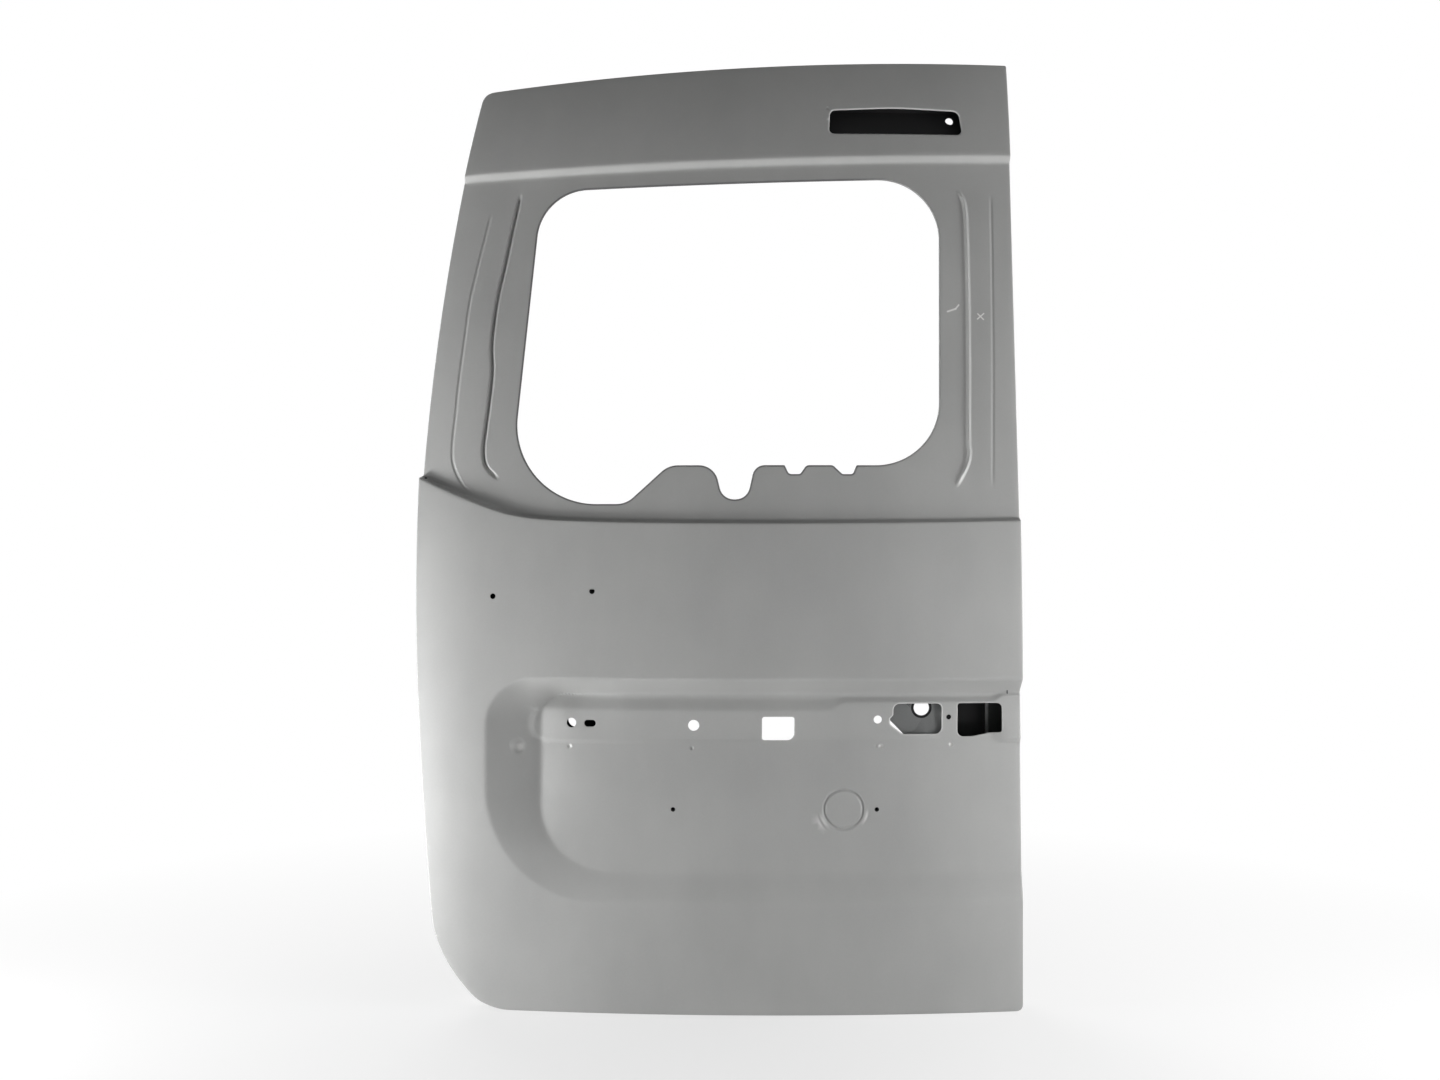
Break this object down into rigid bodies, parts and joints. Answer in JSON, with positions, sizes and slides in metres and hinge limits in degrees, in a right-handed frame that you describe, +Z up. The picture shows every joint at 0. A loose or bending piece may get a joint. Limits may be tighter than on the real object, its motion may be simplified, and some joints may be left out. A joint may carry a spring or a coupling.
{
  "type": "rear barn door of a camper van",
  "caption": "Bare left rear door shell of a small camper van: hemmed steel skin on a pressed inner panel, with window aperture, plate recess and hinge seats.",
  "frame": {"origin": "on the outer face of the upper hinge plate, midway between its two bolt holes", "axes": "+Z up, +X from the hinge edge towards the meeting edge, +Y into the vehicle, so the painted outer face looks towards -Y"},
  "size_m": [0.7435, 0.1609, 1.18],
  "materials": {
    "grey_primer": "satin electro-dipped primer",
    "bare_zinc": "zinc-plated",
    "dark_primer": "satin cavity coating",
    "mastic": "matt"
  },
  "bodies": {
    "root": {"outer_skin": "grey_primer", "inner_panel": "grey_primer", "belt_reinforcement": "grey_primer", "header_reinforcement": "grey_primer", "hinge_side_reinforcement": "grey_primer", "lock_side_reinforcement": "grey_primer", "upper_hinge_plate": "grey_primer", "lower_hinge_plate": "grey_primer", "upper_hinge_nuts": "bare_zinc", "lower_hinge_nuts": "bare_zinc", "check_strap_plate": "grey_primer", "check_strap_nuts": "bare_zinc", "top_catch_plate": "grey_primer", "bottom_catch_plate": "grey_primer", "handle_reinforcement": "grey_primer", "lock_plate": "grey_primer", "lock_nuts": "bare_zinc", "lamp_pocket": "dark_primer", "plate_screw_nuts": "bare_zinc", "anti_flutter_bar": "grey_primer", "mastic_pads": "mastic"}
  },
  "joints": []
}
